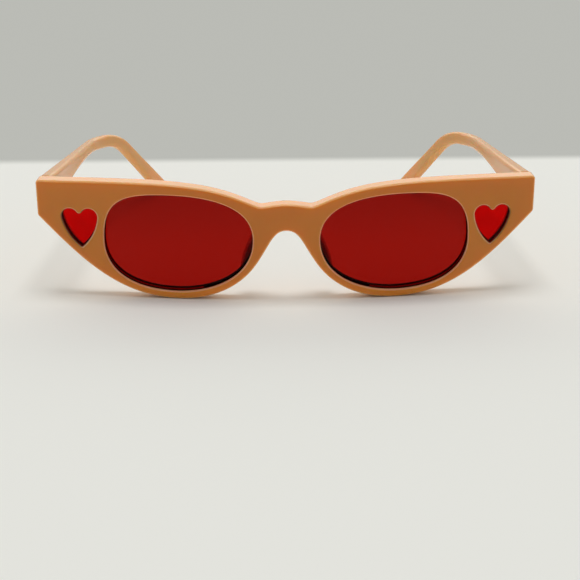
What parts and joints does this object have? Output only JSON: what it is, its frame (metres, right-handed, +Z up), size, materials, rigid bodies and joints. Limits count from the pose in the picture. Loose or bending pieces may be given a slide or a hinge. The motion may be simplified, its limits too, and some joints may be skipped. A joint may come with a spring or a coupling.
{
  "type": "sunglasses",
  "caption": "Cat-eye sunglasses in glossy peach plastic with dark red lenses, red hearts let into the end pieces, and folding temples bent down behind the ear.",
  "frame": {"origin": "on the surface that the open glasses stand on, under the middle of their box", "axes": "+Z up, +X across the front, to the right as seen from in front, +Y from the front back along the temples"},
  "size_m": [0.1456, 0.1448, 0.035],
  "materials": {
    "frame_plastic": "glossy opaque peach-brown moulded plastic with softly rounded edges",
    "lens_tint": "polished dark red tinted sunglass plastic",
    "heart_acrylic": "polished bright red acrylic",
    "hinge_steel": "small stamped and turned hinge parts, satin",
    "core_wire": "drawn wire, hidden inside the temple"
  },
  "bodies": {
    "front": {"front_frame": "frame_plastic", "lens_left": "lens_tint", "lens_right": "lens_tint", "heart_inlay_left": "heart_acrylic", "heart_inlay_right": "heart_acrylic", "nose_pad_left": "frame_plastic", "nose_pad_right": "frame_plastic", "hinge_front_leaf_left": "hinge_steel", "hinge_front_leaf_right": "hinge_steel", "hinge_screw_left": "hinge_steel", "hinge_screw_right": "hinge_steel", "front_leaf_screws_left": "hinge_steel", "front_leaf_screws_right": "hinge_steel"},
    "left_temple": {"temple_left": "frame_plastic", "temple_core_left": "core_wire", "hinge_temple_leaf_left": "hinge_steel", "temple_leaf_screws_left": "hinge_steel"},
    "right_temple": {"temple_right": "frame_plastic", "temple_core_right": "core_wire", "hinge_temple_leaf_right": "hinge_steel", "temple_leaf_screws_right": "hinge_steel"}
  },
  "joints": [
    {"name": "left_temple_fold", "type": "hinge", "parent": "front", "child": "left_temple", "pos_m": [-0.0669, -0.05515, 0.03016], "axis": [0, 0.0471, -0.9989], "range_deg": [0, 85]},
    {"name": "right_temple_fold", "type": "hinge", "parent": "front", "child": "right_temple", "pos_m": [0.0669, -0.05515, 0.03016], "axis": [0, -0.0471, 0.9989], "range_deg": [0, 78]}
  ]
}
